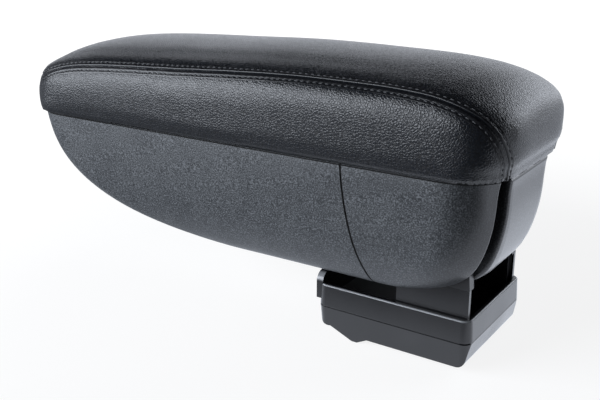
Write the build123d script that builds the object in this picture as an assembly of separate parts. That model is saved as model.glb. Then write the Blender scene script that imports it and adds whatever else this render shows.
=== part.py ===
from build123d import *
import os
from math import asin, degrees

# Centre armrest for a car: padded lid on a storage bin that folds up on a fork in a console adapter.
# Millimetres, +Z up, nose towards -X, rear towards +X. The origin is on the adapter's flat underside.

# General fits
RUNNING_FIT = 0.05
PRESS_FIT = 0.02
SEAT_GAP = 0.3
SLIDE_GAP = 0.2

# Console adapter
ADAPTER_LENGTH = 105.0
ADAPTER_WIDTH = 83.6
ADAPTER_CORNER = 6.0
ADAPTER_WALL = 2.6
PARTING_HEIGHT = 16.5
RIM_HEIGHT = 14.8
RIM_DRAFT = 3.0
RIM_BEAD = 1.2
PARTING_BEVEL = 0.5
TRAY_SIDE_DRAFT = 5.0
TRAY_REAR_SLOPE = 3.5
TRAY_REAR_EDGE = 6.0
TRAY_FRONT_DROP = 6.0
TRAY_HOOK_FRONT = -43.0
TRAY_HOOK_TIP = -23.5
TRAY_HOOK_REAR = -16.3
TRAY_HOOK_DEPTH = 3.8
TRAY_BOW_HEIGHT = 3.2
FRAME_FLOOR = 2.5
LIP_HEIGHT = 38.0
LIP_THICK = 3.2
LIP_HALF_WIDTH = 40.0
LIP_REACH = 1.5
LIP_START = 4.0
LIP_CORNER = 6.5
PAD_THICK = 1.7
PAD_HALF_WIDTH = 30.0
MOUNT_HOLE_R = 2.25
MOUNT_CENTRE_X = 14.0
MOUNT_SPACING_X = 40.0
MOUNT_SPACING_Y = 44.0

# Screws
SCREW_SHANK_R = 1.4
SCREW_HEAD_R = 3.0
SCREW_HEAD_H = 2.0
SCREW_HOLE_R = 1.7
BOSS_R = 4.0
ADAPTER_SCREW_INSET = 12.5
ADAPTER_SCREW_PITCH = 30.0
ADAPTER_SCREW_Y = 28.0

# Fork leg and its socket
ARM_INNER = 31.0
ARM_THICK = 6.0
SOCKET_WALL = 2.6
SOCKET_TOP = 49.0
SOCKET_FRONT_TOP = 36.0
LEG_FRONT = 4.5
LEG_REAR_INSET = 3.5
LEG_FOOT = 12.0
LEG_FOOT_INSET = 6.0
LEG_WEB_THICK = 3.5
LEG_WEB_TOP = 37.0
ARM_EYE_R = 19.0
LEG_SCREW_X = (13.0, 23.0)
LEG_SCREW_Z = 24.0

# Fold pivot
PIVOT_X = 27.0
PIVOT_Z = 88.0
PIN_R = 5.0
PIN_OVERHANG = 4.0
CLIP_R = 8.0
CLIP_THICK = 1.2
WASHER_R = 14.0
WASHER_THICK = 0.5
BUSH_WALL = 2.5
BUSH_FLANGE = 2.0
BUSH_FLANGE_THICK = 1.5
PIVOT_BOSS_R = 12.0
PIVOT_BOSS_LENGTH = 8.0

# Bin hull: one row for each level, from the mouth down to the flat bottom.
# height, front end, rear end, half width at the front, half width at the rear, front and rear corner
HULL_LEVELS = (
    (119.2, -292.5, 67.4, 62.0, 57.5, 30.0, 33.0),
    (100.0, -286.5, 65.6, 61.5, 57.0, 30.0, 33.0),
    (84.0, -276.0, 63.9, 60.5, 56.0, 31.0, 33.0),
    (70.0, -259.5, 60.5, 58.5, 54.5, 33.0, 33.0),
    (58.0, -235.0, 55.0, 55.0, 51.5, 34.0, 33.0),
    (49.0, -203.0, 43.0, 50.0, 48.0, 34.0, 32.0),
    (43.5, -168.0, 27.0, 45.0, 43.5, 33.0, 30.0),
    (40.0, -125.0, 10.0, 37.0, 36.5, 30.0, 26.0),
)
FRONT_BOW = 4.0
BIN_WALL = 3.0
BLOCK_EDGE = 2.5
SLOT_CLEARANCE = 0.8
DECK_DROP = 6.0
DECK_THICK = 2.5

# Cheeks: their front edge is an arc, foremost at this place and height
CHEEK_FRONT = -27.4
CHEEK_ARC_Z = 131.4
CHEEK_ARC_R = 235.1
CHEEK_WALL = 2.6
CHEEK_EDGE = 1.5
CHEEK_JOINT_GAP = 0.6
CHEEK_SCREW_Z = (104.0, 80.0)
CHEEK_SCREW_Y = 46.0
CHEEK_BOSS_LENGTH = 12.0

# Padded lid
LID_GAP = 0.3
NOSE_OVERHANG = 4.0
TAIL_OVERHANG = 1.6
SIDE_OVERHANG = 3.5
LID_FRONT_CORNER = 32.0
LID_REAR_CORNER = 30.0
LID_LOWER_EDGE = 3.2
LID_UPPER_EDGE = 13.0
CROWN_HALF = 75.0
CROWN_DROP = 15.0
# share of the lid's length from the nose, height of the crest
CREST = (
    (-0.042, 139.0),
    (0.034, 158.0),
    (0.130, 168.5),
    (0.239, 172.8),
    (0.362, 175.0),
    (0.540, 177.0),
    (0.718, 177.2),
    (0.814, 176.0),
    (0.882, 173.3),
    (0.937, 168.0),
    (0.976, 161.0),
    (1.030, 144.0),
)
COVER_THICK = 1.5
COVER_HEM = 14.0
BASE_THICK = 5.7
LINER_RIB = 2.2
LINER_RIB_DEPTH = 7.5
LINER_SCREW_FRONT = 56.0
LINER_SCREW_REAR = 32.0
LINER_SCREW_Y = 38.0

# Lid hinge and catch
HINGE_INSET = 3.9
HINGE_DROP = 3.5
HINGE_RELIEF = 0.4
KNUCKLE_R = 2.2
HINGE_ROD_R = 1.1
HINGE_HALF = 28.0
KNUCKLE_ENDS = (5.5, 18.0)
KNUCKLE_GAP = 0.4
LEAF_LENGTH = 22.0
LEAF_RISER = 7.0
MAGNET_INSET = 24.5
MAGNET_R = 5.0
MAGNET_HEIGHT = 5.0
PLATE_R = 6.0
PLATE_THICK = 1.4
MAGNET_BLOCK_HALF = 9.0
MAGNET_BLOCK_DEPTH = 16.0

# Sizes that follow from those above
ADAPTER_REAR = ADAPTER_LENGTH / 2
ADAPTER_FRONT = -ADAPTER_REAR
LEG_REAR = ADAPTER_REAR - LEG_REAR_INSET
LEG_FOOT_REAR = ADAPTER_REAR - LEG_FOOT_INSET
FIRST_ADAPTER_SCREW = ADAPTER_FRONT + ADAPTER_SCREW_INSET
ADAPTER_SCREW_X = (FIRST_ADAPTER_SCREW, FIRST_ADAPTER_SCREW + ADAPTER_SCREW_PITCH)
CHEEK_ARC_X = CHEEK_FRONT + CHEEK_ARC_R
BULKHEAD_FRONT = CHEEK_FRONT - BIN_WALL
RIM_TOP = PARTING_HEIGHT + RIM_HEIGHT
ARM_OUTER = ARM_INNER + ARM_THICK
BLOCK_HALF = ARM_INNER - SLOT_CLEARANCE
CHEEK_INNER = ARM_OUTER + SLOT_CLEARANCE
BIN_TOP, HULL_FRONT, HULL_REAR, HULL_HALF_FRONT, HULL_HALF_REAR = HULL_LEVELS[0][:5]
HULL_BOTTOM = HULL_LEVELS[-1][0]
LID_BOTTOM = BIN_TOP + LID_GAP
LID_FRONT = HULL_FRONT - NOSE_OVERHANG
LID_REAR = HULL_REAR + TAIL_OVERHANG
LID_HALF_FRONT = HULL_HALF_FRONT + SIDE_OVERHANG
LID_HALF_REAR = HULL_HALF_REAR + SIDE_OVERHANG
FIRST_LINER_SCREW = LID_FRONT + LINER_SCREW_FRONT
LAST_LINER_SCREW = BULKHEAD_FRONT - LINER_SCREW_REAR
LINER_SCREW_X = (FIRST_LINER_SCREW, (FIRST_LINER_SCREW + LAST_LINER_SCREW) / 2, LAST_LINER_SCREW)
HINGE_X = HULL_REAR - HINGE_INSET
MAGNET_X = HULL_FRONT + MAGNET_INSET
HINGE_Z = LID_BOTTOM - HINGE_DROP
DECK_TOP = BIN_TOP - DECK_DROP
CORE_INSET = COVER_THICK + SEAT_GAP
CORE_BOTTOM = LID_BOTTOM + CORE_INSET
BASE_TOP = CORE_BOTTOM + BASE_THICK
FAR = 400.0


def block(x_range, y_range, z_range):
    """Box between two limits on each axis."""
    size = [high - low for low, high in (x_range, y_range, z_range)]
    middle = [(low + high) / 2 for low, high in (x_range, y_range, z_range)]
    return Pos(*middle) * Box(*size)


def rod_y(radius, y_range, x, z):
    """Cylinder along Y."""
    return Pos(x, sum(y_range) / 2, z) * Rot(90, 0, 0) * Cylinder(radius, y_range[1] - y_range[0])


def rod_z(radius, z_range, x, y):
    """Cylinder along Z."""
    return Pos(x, y, sum(z_range) / 2) * Cylinder(radius, z_range[1] - z_range[0])


def both_sides(shape):
    """The shape and its mirror image across the middle plane."""
    return shape + mirror(shape, about=Plane.XZ)


def outline(front, rear, half_front, half_rear, front_corner, rear_corner):
    """Plan outline with a bowed nose and four rounded corners."""
    nose = ThreePointArc((front + FRONT_BOW, half_front), (front, 0), (front + FRONT_BOW, -half_front))
    right = Line(nose @ 1, (rear, -half_rear))
    back = Line(right @ 1, (rear, half_rear))
    left = Line(back @ 1, nose @ 0)
    sketch = Sketch() + make_face([nose, right, back, left])
    sketch = fillet(sketch.vertices().group_by(Axis.X)[0], front_corner)
    return fillet(sketch.vertices().group_by(Axis.X)[-1], rear_corner)


def hull(inset):
    """Boat-shaped hull, drawn in and raised by an inset for its inner face."""
    levels = []
    for height, front, rear, half_front, half_rear, front_corner, rear_corner in HULL_LEVELS:
        plan = outline(front + inset, rear - inset, half_front - inset, half_rear - inset,
                       front_corner - inset, rear_corner - inset)
        levels.append(Pos(0, 0, height + inset) * plan)
    return loft(levels)


def cheek_disc(radius):
    """Disc across the part whose rim is the front edge of the cheeks."""
    return rod_y(radius, (-FAR, FAR), CHEEK_ARC_X, CHEEK_ARC_Z)


def radial(height, radius):
    """Place at a height on the cheek arc, with local X pointing to its centre."""
    turn = degrees(asin((CHEEK_ARC_Z - height) / CHEEK_ARC_R))
    return Pos(CHEEK_ARC_X, 0, CHEEK_ARC_Z) * Rot(0, -turn, 0) * Pos(-radius, 0, 0)


def screw(length):
    """Pan-head screw along -Z, its head standing on the plane at zero."""
    head = Pos(0, 0, SCREW_HEAD_H / 2) * Cylinder(SCREW_HEAD_R, SCREW_HEAD_H)
    head = fillet(head.edges().group_by(Axis.Z)[-1], SCREW_HEAD_H / 2)
    return head + rod_z(SCREW_SHANK_R, (-length, 0), 0, 0)


def adapter_plan(inset):
    """Plan outline of the adapter at its parting line."""
    return RectangleRounded(ADAPTER_LENGTH - 2 * inset, ADAPTER_WIDTH - 2 * inset, ADAPTER_CORNER - inset)


def tray_profile():
    """Side profile of the lower moulding: raked rear, flat base, hook and bow."""
    shoulder = (ADAPTER_FRONT, PARTING_HEIGHT - TRAY_FRONT_DROP)
    bow = (TRAY_HOOK_FRONT, TRAY_BOW_HEIGHT)
    edges = Polyline(
        bow,
        (TRAY_HOOK_TIP - TRAY_HOOK_DEPTH, -TRAY_HOOK_DEPTH),
        (TRAY_HOOK_TIP, -TRAY_HOOK_DEPTH),
        (TRAY_HOOK_REAR, 0),
        (ADAPTER_REAR - TRAY_REAR_SLOPE, 0),
        (ADAPTER_REAR, PARTING_HEIGHT),
        (ADAPTER_FRONT, PARTING_HEIGHT),
        shoulder,
    )
    chin = TangentArc(shoulder, bow, tangent=(0, -1))
    profile = Sketch() + make_face([edges, chin])
    heel = profile.vertices().sort_by_distance((ADAPTER_REAR, 0))[0]
    return Plane.XZ * fillet(heel, TRAY_REAR_EDGE)


def adapter_tray():
    """Lower moulding: hollow tray with screw bosses and mounting holes."""
    side = extrude(tray_profile(), ADAPTER_WIDTH, both=True)
    depth = PARTING_HEIGHT + TRAY_HOOK_DEPTH
    taper = extrude(adapter_plan(0), -depth, taper=TRAY_SIDE_DRAFT)
    shell = side & Pos(0, 0, PARTING_HEIGHT) * taper
    shell = chamfer(shell.edges().group_by(Axis.Z)[-1], PARTING_BEVEL)
    inner_side = extrude(offset(tray_profile(), -ADAPTER_WALL), ADAPTER_WIDTH, both=True)
    inner_side += Pos(0, 0, ADAPTER_WALL) * inner_side
    inner_taper = extrude(adapter_plan(ADAPTER_WALL), -depth, taper=TRAY_SIDE_DRAFT)
    hollow = inner_side & Pos(0, 0, PARTING_HEIGHT + SEAT_GAP) * inner_taper
    shell -= hollow
    for x in ADAPTER_SCREW_X:
        post = rod_z(BOSS_R, (ADAPTER_WALL / 2, PARTING_HEIGHT), x, ADAPTER_SCREW_Y)
        pilot = rod_z(SCREW_SHANK_R + PRESS_FIT, (TRAY_BOW_HEIGHT + ADAPTER_WALL, FAR), x, ADAPTER_SCREW_Y)
        shell += both_sides(post)
        shell -= both_sides(pilot)
    holes = GridLocations(MOUNT_SPACING_X, MOUNT_SPACING_Y, 2, 2)
    shell -= Pos(MOUNT_CENTRE_X, 0, 0) * holes * Cylinder(MOUNT_HOLE_R, PARTING_HEIGHT)
    return shell


def adapter_frame():
    """Upper moulding: drafted rim, floor, front lip and the socket of the leg."""
    lift = Pos(0, 0, PARTING_HEIGHT)
    shell = lift * extrude(adapter_plan(0), RIM_HEIGHT, taper=RIM_DRAFT)
    shell = fillet(shell.edges().group_by(Axis.Z)[-1], RIM_BEAD)
    shell = chamfer(shell.edges().group_by(Axis.Z)[0], PARTING_BEVEL)
    well = lift * extrude(adapter_plan(ADAPTER_WALL), RIM_HEIGHT + SEAT_GAP, taper=RIM_DRAFT)
    shell -= well - block((-FAR, FAR), (-FAR, FAR), (0, PARTING_HEIGHT + FRAME_FLOOR))
    lip = block((ADAPTER_FRONT - LIP_REACH, ADAPTER_FRONT + LIP_THICK),
                (-LIP_HALF_WIDTH, LIP_HALF_WIDTH),
                (PARTING_HEIGHT + LIP_START, LIP_HEIGHT))
    shell += fillet(lip.edges().filter_by(Axis.X).group_by(Axis.Z)[-1], LIP_CORNER)
    socket_front = LEG_FRONT - SLIDE_GAP - SOCKET_WALL
    mouth = ARM_OUTER - SOCKET_WALL
    side = block((socket_front, LEG_REAR), (mouth, ARM_OUTER), (PARTING_HEIGHT, SOCKET_TOP))
    shell += both_sides(side)
    shell += block((socket_front, LEG_FRONT - SLIDE_GAP), (-ARM_OUTER, ARM_OUTER),
                   (PARTING_HEIGHT, SOCKET_FRONT_TOP))
    shell -= block((LEG_FRONT - SLIDE_GAP, LEG_FOOT_REAR + SLIDE_GAP), (-mouth, mouth), (0, RIM_TOP))
    for x in ADAPTER_SCREW_X:
        shell -= both_sides(rod_z(SCREW_HOLE_R, (0, RIM_TOP), x, ADAPTER_SCREW_Y))
    for x in LEG_SCREW_X:
        pilot = rod_y(SCREW_SHANK_R + PRESS_FIT, (0, ARM_OUTER - SOCKET_WALL / 4), x, LEG_SCREW_Z)
        shell -= both_sides(pilot)
    return shell


def leg():
    """Fork: two arms with round eyes, thinner tongues below, joined by a front web."""
    eye = Pos(PIVOT_X, PIVOT_Z) * Circle(ARM_EYE_R)
    stem = Polygon(
        (LEG_FRONT, SOCKET_TOP),
        (LEG_REAR, SOCKET_TOP),
        (PIVOT_X + ARM_EYE_R, PIVOT_Z),
        (PIVOT_X - ARM_EYE_R, PIVOT_Z),
        align=None,
    )
    arm = extrude(Plane.XZ * (eye + stem), -ARM_THICK)
    arm = Pos(0, ARM_INNER, 0) * arm
    tongue_outer = ARM_OUTER - SOCKET_WALL - SLIDE_GAP
    tongue = block((LEG_FRONT, LEG_FOOT_REAR), (ARM_INNER, tongue_outer), (LEG_FOOT, SOCKET_TOP))
    fork = both_sides(arm + tongue)
    fork += block((LEG_FRONT, LEG_FRONT + LEG_WEB_THICK), (-ARM_INNER, ARM_INNER), (LEG_FOOT, LEG_WEB_TOP))
    fork -= rod_y(PIN_R + PRESS_FIT, (-FAR, FAR), PIVOT_X, PIVOT_Z)
    for x in LEG_SCREW_X:
        fork -= rod_y(SCREW_HOLE_R, (-FAR, FAR), x, LEG_SCREW_Z)
    return fork


def pivot_pin():
    """Steel pin across the fork, chamfered at both ends."""
    reach = ARM_OUTER + PIN_OVERHANG
    pin = rod_y(PIN_R, (-reach, reach), PIVOT_X, PIVOT_Z)
    return chamfer(pin.edges().filter_by(GeomType.CIRCLE), PIN_R / 5)


def ring(inner, outer, y_range):
    """Flat ring on the pivot axis, on both sides."""
    body = rod_y(outer, y_range, PIVOT_X, PIVOT_Z)
    return both_sides(body - rod_y(inner, y_range, PIVOT_X, PIVOT_Z))


def pivot_bushes():
    """Flanged bushes pressed into the hinge block from inside."""
    inner_end = BLOCK_HALF - PIVOT_BOSS_LENGTH
    sleeve = ring(PIN_R + RUNNING_FIT, PIN_R + BUSH_WALL, (inner_end - BUSH_FLANGE_THICK, BLOCK_HALF))
    flange = ring(PIN_R + RUNNING_FIT, PIN_R + BUSH_WALL + BUSH_FLANGE,
                  (inner_end - BUSH_FLANGE_THICK, inner_end))
    return sleeve + flange


def hinge_relief():
    """Material to take off the top rear edge so that the lid can turn about its rod."""
    corner = block((HINGE_X, FAR), (-FAR, FAR), (HINGE_Z - KNUCKLE_R / 2, FAR))
    return corner - rod_y(HINGE_DROP - HINGE_RELIEF, (-FAR, FAR), HINGE_X, HINGE_Z)


def rear_edges(shape, half):
    """Upright edges of a shape behind the pivot, at a distance from the middle plane."""
    found = []
    for edge in shape.edges():
        middle = edge @ 0.5
        if abs(abs(middle.Y) - half) < RUNNING_FIT and middle.X > PIVOT_X + PIVOT_BOSS_R:
            found.append(edge)
    return found


def bin_shell():
    """Storage bin with the hollow hinge block between the fork arms."""
    outer = hull(0)
    cavity = hull(BIN_WALL)
    disc = cheek_disc(CHEEK_ARC_R)
    beside = block((-FAR, FAR), (BLOCK_HALF, FAR), (0, FAR))
    slot = block((LEG_FRONT - SOCKET_WALL - 2 * SLOT_CLEARANCE, FAR), (BLOCK_HALF, CHEEK_INNER), (0, FAR))
    shell = outer - both_sides(disc & beside) - both_sides(slot)
    shell = fillet(rear_edges(shell, BLOCK_HALF), BLOCK_EDGE)
    shell -= cavity - cheek_disc(CHEEK_ARC_R + BIN_WALL)
    pocket_half = BLOCK_HALF - BIN_WALL
    between = block((-FAR, FAR), (-pocket_half, pocket_half), (0, DECK_TOP - DECK_THICK))
    below = extrude(cavity.faces().sort_by(Axis.Z)[0], HULL_BOTTOM)
    shell -= (cavity + below) & disc & between
    above = block((-FAR, HINGE_X - KNUCKLE_R), (-pocket_half, pocket_half), (DECK_TOP, FAR))
    shell -= cavity & disc & above
    boss = rod_y(PIVOT_BOSS_R, (BLOCK_HALF - PIVOT_BOSS_LENGTH, BLOCK_HALF), PIVOT_X, PIVOT_Z)
    shell += both_sides(boss)
    shell -= rod_y(PIN_R + BUSH_WALL + PRESS_FIT, (-FAR, FAR), PIVOT_X, PIVOT_Z)
    shell += bin_knuckles()
    shell -= hinge_relief()
    shell -= rod_y(HINGE_ROD_R + PRESS_FIT, (-HINGE_HALF, HINGE_HALF), HINGE_X, HINGE_Z)
    bay = KNUCKLE_R + SEAT_GAP
    shell -= both_sides(block((HINGE_X - bay, HINGE_X + bay), KNUCKLE_ENDS, (HINGE_Z - bay, FAR)))
    shell += magnet_block(cavity)
    for height in CHEEK_SCREW_Z:
        hole = radial(height, CHEEK_ARC_R + BIN_WALL) * Pos(0, CHEEK_SCREW_Y, 0) * Rot(0, 90, 0)
        shell -= both_sides(hole * Cylinder(SCREW_HOLE_R, 4 * BIN_WALL))
    return shell


def bin_knuckles():
    """Thickened rear wall under the lid rod."""
    depth = (HINGE_Z - 3 * KNUCKLE_R, HINGE_Z)
    bar = block((HINGE_X - KNUCKLE_R, HINGE_X + KNUCKLE_R), (-HINGE_HALF, HINGE_HALF), depth)
    return bar + rod_y(KNUCKLE_R, (-HINGE_HALF, HINGE_HALF), HINGE_X, HINGE_Z)


def magnet_block(cavity):
    """Block on the front wall that holds the magnet."""
    top = BIN_TOP - SEAT_GAP
    body = block((-FAR, MAGNET_X + MAGNET_BLOCK_HALF), (-MAGNET_BLOCK_HALF, MAGNET_BLOCK_HALF),
                 (top - MAGNET_BLOCK_DEPTH, top))
    return body & cavity - rod_z(MAGNET_R + PRESS_FIT, (top - MAGNET_HEIGHT, FAR), MAGNET_X, 0)


def cheek():
    """Side cover outside the fork arm, open towards the arm."""
    outer = hull(0) & cheek_disc(CHEEK_ARC_R - CHEEK_JOINT_GAP)
    shell = outer & block((-FAR, FAR), (CHEEK_INNER, FAR), (0, FAR))
    shell = fillet(rear_edges(shell, CHEEK_INNER), CHEEK_EDGE)
    hollow = hull(CHEEK_WALL) & cheek_disc(CHEEK_ARC_R - CHEEK_JOINT_GAP - CHEEK_WALL)
    shell -= hollow & block((-FAR, FAR), (0, FAR), (0, BIN_TOP - CHEEK_WALL))
    shell -= hinge_relief()
    for height in CHEEK_SCREW_Z:
        place = radial(height, CHEEK_ARC_R - CHEEK_JOINT_GAP) * Pos(0, CHEEK_SCREW_Y, 0) * Rot(0, 90, 0)
        boss = Pos(0, 0, CHEEK_BOSS_LENGTH / 2) * Cylinder(BOSS_R, CHEEK_BOSS_LENGTH)
        shell += place * boss
        shell -= place * Cylinder(SCREW_SHANK_R + PRESS_FIT, 4 * CHEEK_BOSS_LENGTH)
    return shell


def cheek_screws():
    """Screws from inside the bin into the bosses of the cheeks."""
    group = Part()
    for height in CHEEK_SCREW_Z:
        place = radial(height, CHEEK_ARC_R + BIN_WALL) * Pos(0, CHEEK_SCREW_Y, 0) * Rot(0, -90, 0)
        group += both_sides(place * screw(CHEEK_BOSS_LENGTH))
    return group


def crown_cutter(drop):
    """Everything above the crowned top of the lid."""
    sections = []
    for share, crest in CREST:
        x = LID_FRONT + share * (LID_REAR - LID_FRONT)
        top = crest - drop
        arc = ThreePointArc((-CROWN_HALF, top - CROWN_DROP), (0, top), (CROWN_HALF, top - CROWN_DROP))
        lid_side = Polyline(arc @ 1, (CROWN_HALF, FAR), (-CROWN_HALF, FAR), arc @ 0)
        sections.append(Plane((x, 0, 0), x_dir=(0, 1, 0), z_dir=(1, 0, 0)) * make_face([arc, lid_side]))
    return loft(sections)


def lid_plan(inset):
    """Plan outline of the lid."""
    return outline(LID_FRONT + inset, LID_REAR - inset, LID_HALF_FRONT - inset, LID_HALF_REAR - inset,
                   LID_FRONT_CORNER - inset, LID_REAR_CORNER - inset)


def lid_form(inset):
    """Padded form of the lid, drawn in on all sides by an inset."""
    body = Pos(0, 0, LID_BOTTOM + inset) * extrude(lid_plan(inset), FAR / 4)
    body -= crown_cutter(inset)
    top = body.faces().sort_by(Axis.Z)[-1]
    body = fillet(top.edges(), LID_UPPER_EDGE - inset)
    return fillet(body.edges().group_by(Axis.Z)[0], LID_LOWER_EDGE - inset)


def lid_cover():
    """Sewn cover, drawn over the pad and hemmed under the board."""
    shell = lid_form(0) - lid_form(COVER_THICK)
    window = extrude(lid_plan(COVER_HEM), CORE_BOTTOM)
    return shell - Pos(0, 0, SEAT_GAP + CORE_INSET) * window


def lid_base(core):
    """Board under the pad."""
    return core & block((-FAR, FAR), (-FAR, FAR), (0, BASE_TOP))


def lid_foam(core):
    """Foam pad on the board."""
    return core & block((-FAR, FAR), (-FAR, FAR), (BASE_TOP, FAR))


def lid_liner():
    """Plastic underside of the lid with a locating rib and two hinge leaves."""
    inset = COVER_HEM + SEAT_GAP
    low = LID_BOTTOM + PRESS_FIT
    plate = Pos(0, 0, low) * extrude(lid_plan(inset), CORE_BOTTOM - low)
    rib = extrude(lid_plan(inset), LINER_RIB_DEPTH) - extrude(lid_plan(inset + LINER_RIB), LINER_RIB_DEPTH)
    front_part = block((-FAR, BULKHEAD_FRONT - 2 * BIN_WALL), (-FAR, FAR), (-FAR, FAR))
    notch = MAGNET_BLOCK_HALF + BIN_WALL
    front_part -= block((-FAR, MAGNET_X), (-notch, notch), (-FAR, FAR))
    plate += (Pos(0, 0, low - LINER_RIB_DEPTH) * rib) & front_part
    leaf_y = (KNUCKLE_ENDS[0] + KNUCKLE_GAP, KNUCKLE_ENDS[1] - KNUCKLE_GAP)
    leaf_front = HINGE_X - LEAF_LENGTH
    leaf = block((leaf_front, HINGE_X), leaf_y, (HINGE_Z, HINGE_Z + KNUCKLE_R))
    leaf += rod_y(KNUCKLE_R, leaf_y, HINGE_X, HINGE_Z)
    leaf += block((leaf_front, leaf_front + LEAF_RISER), leaf_y, (HINGE_Z, CORE_BOTTOM))
    plate += both_sides(leaf)
    plate -= rod_y(HINGE_ROD_R + RUNNING_FIT, (-FAR, FAR), HINGE_X, HINGE_Z)
    plate -= rod_z(PLATE_R + PRESS_FIT, (0, catch_plate_top()), MAGNET_X, 0)
    for x in LINER_SCREW_X:
        plate -= both_sides(rod_z(SCREW_HOLE_R, (0, FAR), x, LINER_SCREW_Y))
    return plate


def catch_plate_top():
    """Upper face of the steel plate in the liner."""
    return LID_BOTTOM + PLATE_THICK - SEAT_GAP


def export_all():
    """Write one file for each piece."""
    os.makedirs("parts", exist_ok=True)
    core = lid_form(CORE_INSET)
    for x in LINER_SCREW_X:
        core -= both_sides(rod_z(SCREW_SHANK_R + PRESS_FIT, (0, BASE_TOP), x, LINER_SCREW_Y))
    right = cheek()
    adapter_screw = Pos(0, ADAPTER_SCREW_Y, PARTING_HEIGHT + FRAME_FLOOR) * screw(PARTING_HEIGHT / 2)
    leg_screw = Pos(0, ARM_INNER, LEG_SCREW_Z) * Rot(90, 0, 0) * screw(ARM_THICK - SOCKET_WALL / 2)
    liner_screw = Pos(0, LINER_SCREW_Y, LID_BOTTOM + PRESS_FIT) * Rot(180, 0, 0) * screw(BASE_THICK)
    clip_y = (ARM_OUTER + SLIDE_GAP, ARM_OUTER + SLIDE_GAP + CLIP_THICK)
    washer_middle = (ARM_INNER + BLOCK_HALF) / 2
    washer_y = (washer_middle - WASHER_THICK / 2, washer_middle + WASHER_THICK / 2)
    magnet_top = BIN_TOP - SEAT_GAP
    plate_low = catch_plate_top() - PLATE_THICK
    nodes = {
        "adapter_tray": adapter_tray(),
        "adapter_frame": adapter_frame(),
        "adapter_screws": both_sides(Part() + [Pos(x, 0, 0) * adapter_screw for x in ADAPTER_SCREW_X]),
        "rest_pad": block((ADAPTER_FRONT, ADAPTER_FRONT + LIP_THICK), (-PAD_HALF_WIDTH, PAD_HALF_WIDTH),
                          (LIP_HEIGHT, LIP_HEIGHT + PAD_THICK)),
        "leg": leg(),
        "leg_screws": both_sides(Part() + [Pos(x, 0, 0) * leg_screw for x in LEG_SCREW_X]),
        "pivot_pin": pivot_pin(),
        "pin_clips": ring(PIN_R + PRESS_FIT, CLIP_R, clip_y),
        "friction_washers": ring(PIN_R + RUNNING_FIT, WASHER_R, washer_y),
        "bin": bin_shell(),
        "right_cheek": right,
        "left_cheek": mirror(right, about=Plane.XZ),
        "cheek_screws": cheek_screws(),
        "pivot_bushes": pivot_bushes(),
        "hinge_rod": rod_y(HINGE_ROD_R, (-HINGE_HALF, HINGE_HALF), HINGE_X, HINGE_Z),
        "catch_magnet": rod_z(MAGNET_R, (magnet_top - MAGNET_HEIGHT, magnet_top), MAGNET_X, 0),
        "lid_base": lid_base(core),
        "lid_foam": lid_foam(core),
        "lid_cover": lid_cover(),
        "lid_liner": lid_liner(),
        "liner_screws": both_sides(Part() + [Pos(x, 0, 0) * liner_screw for x in LINER_SCREW_X]),
        "catch_plate": rod_z(PLATE_R, (plate_low, catch_plate_top()), MAGNET_X, 0),
    }
    for name, shape in nodes.items():
        export_step(shape, f"parts/{name}.step")


export_all()
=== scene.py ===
from math import radians

import bmesh
import bpy
from mathutils import Matrix, Vector
from mathutils.bvhtree import BVHTree
from mathutils.kdtree import KDTree


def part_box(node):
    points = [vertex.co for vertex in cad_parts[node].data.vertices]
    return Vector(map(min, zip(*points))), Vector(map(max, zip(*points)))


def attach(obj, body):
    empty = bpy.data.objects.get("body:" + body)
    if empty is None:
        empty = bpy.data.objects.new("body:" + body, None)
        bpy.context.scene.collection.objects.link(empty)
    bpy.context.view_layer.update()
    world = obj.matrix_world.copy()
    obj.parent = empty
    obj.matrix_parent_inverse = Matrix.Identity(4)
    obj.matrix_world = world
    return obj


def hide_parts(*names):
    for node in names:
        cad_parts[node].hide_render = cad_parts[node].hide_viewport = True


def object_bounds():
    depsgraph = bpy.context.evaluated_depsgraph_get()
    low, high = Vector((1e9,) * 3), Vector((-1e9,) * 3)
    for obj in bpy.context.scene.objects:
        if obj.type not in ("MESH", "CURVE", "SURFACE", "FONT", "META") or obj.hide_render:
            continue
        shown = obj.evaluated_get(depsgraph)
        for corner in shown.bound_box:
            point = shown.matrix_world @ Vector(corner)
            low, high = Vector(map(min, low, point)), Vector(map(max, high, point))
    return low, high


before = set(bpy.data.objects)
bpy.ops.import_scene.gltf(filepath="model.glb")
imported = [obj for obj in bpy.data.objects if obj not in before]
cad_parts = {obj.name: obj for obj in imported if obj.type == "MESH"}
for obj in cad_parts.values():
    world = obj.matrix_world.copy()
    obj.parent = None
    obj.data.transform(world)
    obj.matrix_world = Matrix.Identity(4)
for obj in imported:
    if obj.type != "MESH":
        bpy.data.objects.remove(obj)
cad_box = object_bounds()


# Console adapter: the lower tray and the upper frame that closes it, both injection moulded in
# black ABS from a polished tool. They shine, the rounded rim is painted pale as a painted
# highlight, and the deck is dull.
BLACK_DARK = (0.005, 0.005, 0.006)
BLACK_LIGHT = (0.010, 0.010, 0.011)
BLACK_FLOW_SIZE = 0.03
BLACK_SKIN_SIZE = 0.0016
DECK_LEVEL = 0.022
DECK_FACING = 0.9
DECK_ROUGHNESS = 0.9
RIM_FOOT = 0.029
RIM_PAINTED_HIGHLIGHT = (0.22, 0.225, 0.235)
RIM_RISING = (0.08, 0.30)
RIM_FLAT = (0.85, 0.98)


def add(tree, kind, sockets, **settings):
    """One shader node; a socket is given a steady value or linked to another node's output."""
    made = tree.nodes.new("ShaderNode" + kind)
    for key, value in settings.items():
        setattr(made, key, value)
    for key, value in sockets.items():
        if isinstance(value, bpy.types.NodeSocket):
            tree.links.new(value, made.inputs[key])
        else:
            made.inputs[key].default_value = value
    return made


def maths(tree, operation, *values, clamp=False):
    """One sum on steady values or other nodes' outputs."""
    made = add(tree, "Math", dict(enumerate(values)), operation=operation, use_clamp=clamp)
    return made.outputs["Value"]


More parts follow.
